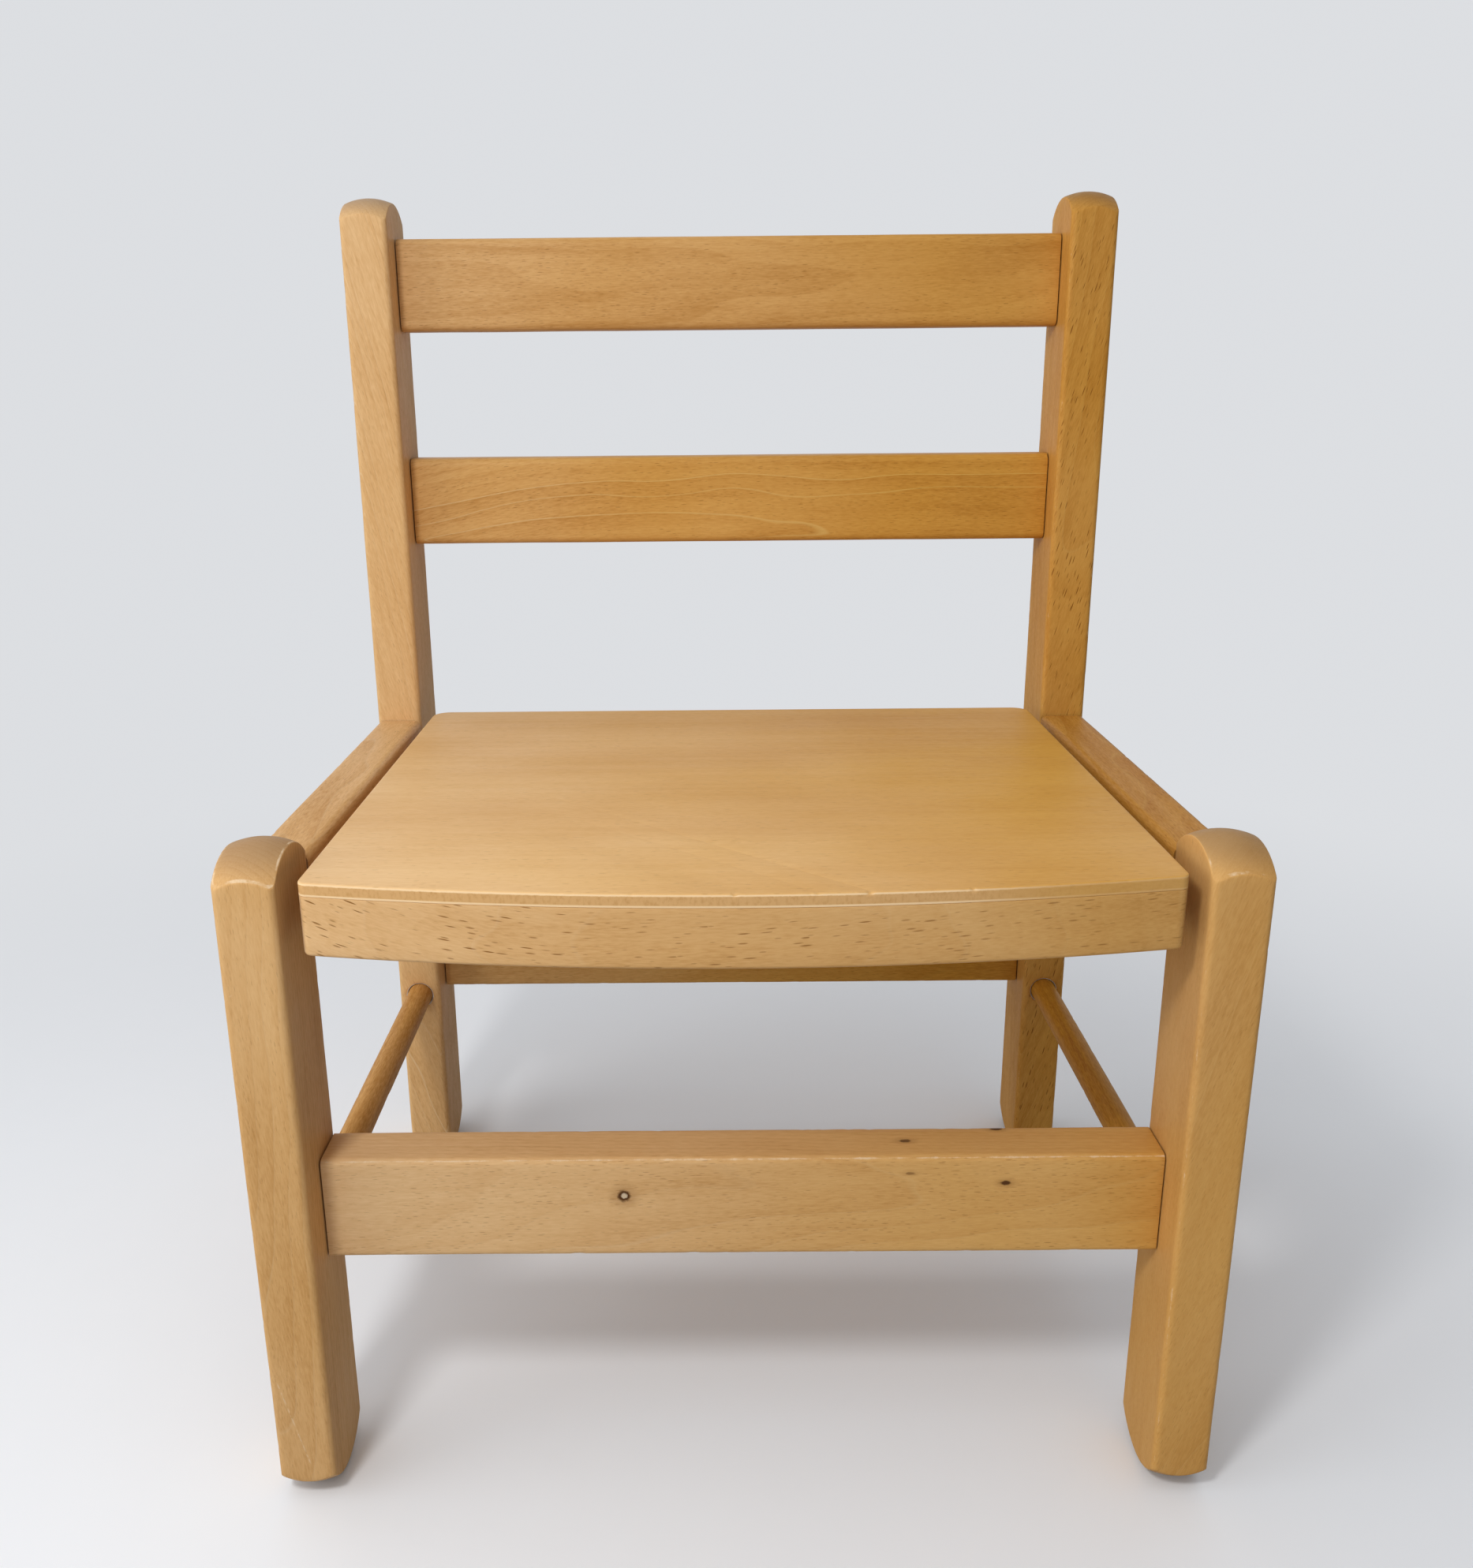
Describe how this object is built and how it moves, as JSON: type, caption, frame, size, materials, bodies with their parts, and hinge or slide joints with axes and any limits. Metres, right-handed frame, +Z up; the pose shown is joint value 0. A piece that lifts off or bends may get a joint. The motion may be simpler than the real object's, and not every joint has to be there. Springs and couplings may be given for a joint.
{
  "type": "kids chair",
  "caption": "Small wooden chair for a young child: straight legs with domed ends, slatted back, bowed plywood seat, flat side rails and round side stretchers.",
  "frame": {"origin": "floor level, at the middle of the chair's width and of its overall depth", "axes": "+Z up; the chair faces -Y, its back is towards +Y; +X is to the right of someone looking at its front"},
  "size_m": [0.36, 0.2986, 0.5015],
  "materials": {
    "leg_beech": "satin clear lacquer on beech",
    "rail_beech": "satin clear lacquer on beech",
    "seat_plywood": "satin clear lacquer on beech-faced plywood",
    "bare_beech": "unfinished beech",
    "zinc": "zinc-plated steel"
  },
  "bodies": {
    "root": {"front_leg_left": "leg_beech", "front_leg_right": "leg_beech", "rear_post_left": "leg_beech", "rear_post_right": "leg_beech", "side_rail_left": "rail_beech", "side_rail_right": "rail_beech", "front_stretcher": "rail_beech", "rear_stretcher": "rail_beech", "lower_slat": "rail_beech", "upper_slat": "rail_beech", "side_stretcher_left": "rail_beech", "side_stretcher_right": "rail_beech", "seat_top": "seat_plywood", "seat_apron": "rail_beech", "seat_back_batten": "bare_beech", "seat_batten_left": "bare_beech", "seat_batten_right": "bare_beech", "seat_bearer_front": "bare_beech", "seat_bearer_rear": "bare_beech", "seat_screw_front_left": "zinc", "seat_screw_front_right": "zinc", "seat_screw_rear_left": "zinc", "seat_screw_rear_right": "zinc", "pin_front_stretcher_left_lower": "bare_beech", "pin_front_stretcher_left_upper": "bare_beech", "pin_front_stretcher_right_lower": "bare_beech", "pin_front_stretcher_right_upper": "bare_beech", "pin_rear_stretcher_left_lower": "bare_beech", "pin_rear_stretcher_left_upper": "bare_beech", "pin_rear_stretcher_right_lower": "bare_beech", "pin_rear_stretcher_right_upper": "bare_beech", "pin_lower_slat_left_lower": "bare_beech", "pin_lower_slat_left_upper": "bare_beech", "pin_lower_slat_right_lower": "bare_beech", "pin_lower_slat_right_upper": "bare_beech", "pin_upper_slat_left_lower": "bare_beech", "pin_upper_slat_left_upper": "bare_beech", "pin_upper_slat_right_lower": "bare_beech", "pin_upper_slat_right_upper": "bare_beech", "pin_side_rail_left_front_lower": "bare_beech", "pin_side_rail_left_front_upper": "bare_beech", "pin_side_rail_left_rear_lower": "bare_beech", "pin_side_rail_left_rear_upper": "bare_beech", "pin_side_rail_right_front_lower": "bare_beech", "pin_side_rail_right_front_upper": "bare_beech", "pin_side_rail_right_rear_lower": "bare_beech", "pin_side_rail_right_rear_upper": "bare_beech", "pin_seat_bearer_front_left_front": "bare_beech", "pin_seat_bearer_front_left_rear": "bare_beech", "pin_seat_bearer_front_right_front": "bare_beech", "pin_seat_bearer_front_right_rear": "bare_beech", "pin_seat_bearer_rear_left_front": "bare_beech", "pin_seat_bearer_rear_left_rear": "bare_beech", "pin_seat_bearer_rear_right_front": "bare_beech", "pin_seat_bearer_rear_right_rear": "bare_beech"}
  },
  "joints": []
}
